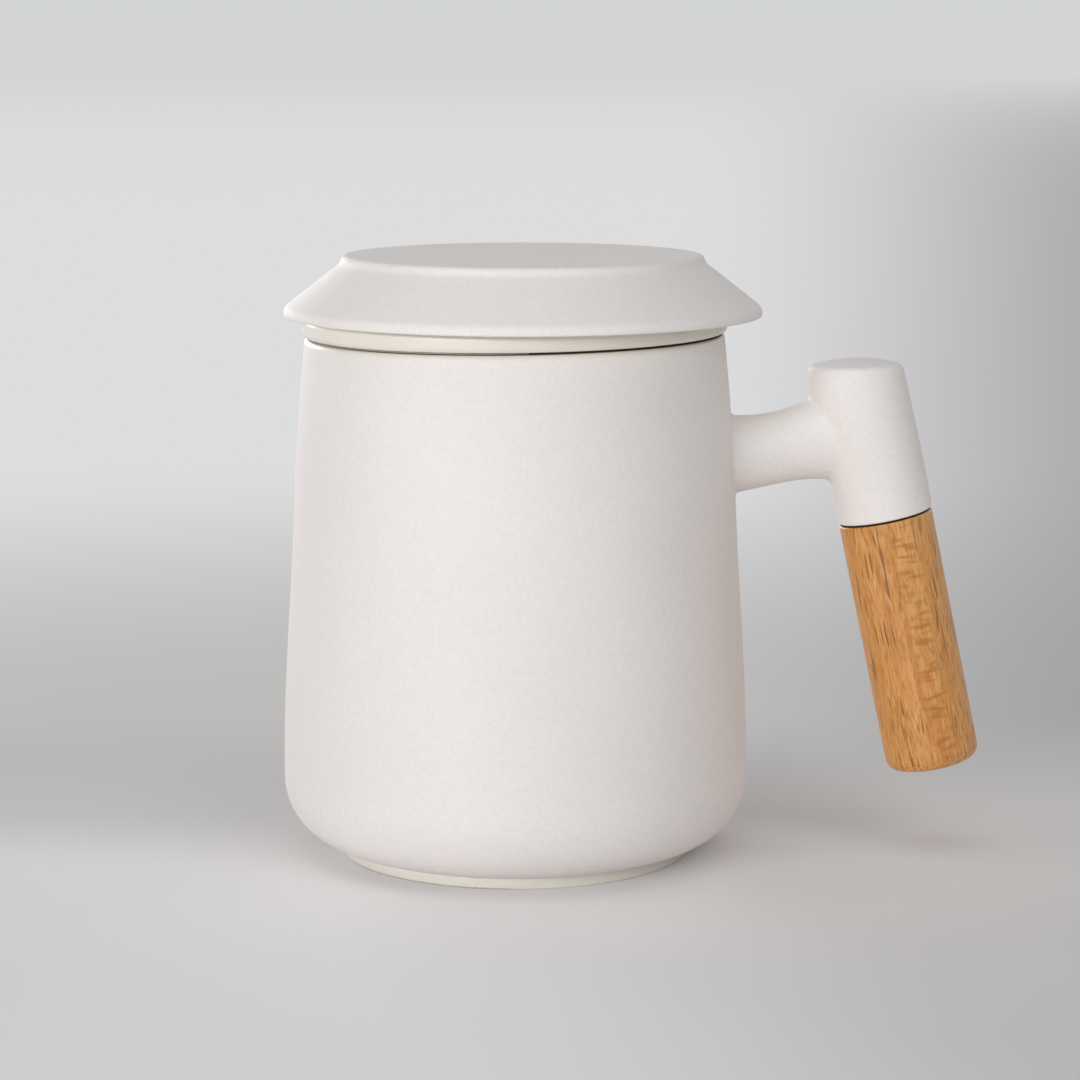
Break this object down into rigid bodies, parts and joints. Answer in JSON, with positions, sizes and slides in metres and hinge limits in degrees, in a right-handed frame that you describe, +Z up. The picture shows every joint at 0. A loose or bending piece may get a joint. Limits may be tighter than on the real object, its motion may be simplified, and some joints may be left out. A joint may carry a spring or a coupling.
{
  "type": "lidded tea mug",
  "caption": "Ceramic mug with a loose overhanging lid, a lift-out infuser basket that rests on the rim, and a round wooden grip hung from a side arm.",
  "frame": {"origin": "centre of the foot ring, in the plane that it stands on", "axes": "+Z up along the mug's axis; +X towards the handle; +Y completes a right-handed frame"},
  "size_m": [0.1388, 0.094, 0.1191],
  "materials": {
    "matte_glaze": "matte",
    "gloss_glaze": "gloss",
    "beech": "satin varnish",
    "silicone": "matte",
    "steel": "plain",
    "brass": "plain",
    "epoxy": "cured"
  },
  "bodies": {
    "mug": {"mug_body": "matte_glaze", "handle_bracket": "matte_glaze", "wood_grip": "beech", "grip_washer": "silicone", "grip_stud": "steel", "post_insert": "brass", "insert_cement": "epoxy", "grip_insert": "brass"},
    "infuser": {"infuser": "gloss_glaze"},
    "lid": {"lid": "matte_glaze"}
  },
  "joints": [
    {"name": "infuser_lift", "type": "slide", "parent": "mug", "child": "infuser", "axis": [0, 0, 1], "range_m": [0, 0.075]},
    {"name": "lid_lift", "type": "slide", "parent": "infuser", "child": "lid", "axis": [0, 0, 1], "range_m": [0, 0.05]}
  ]
}
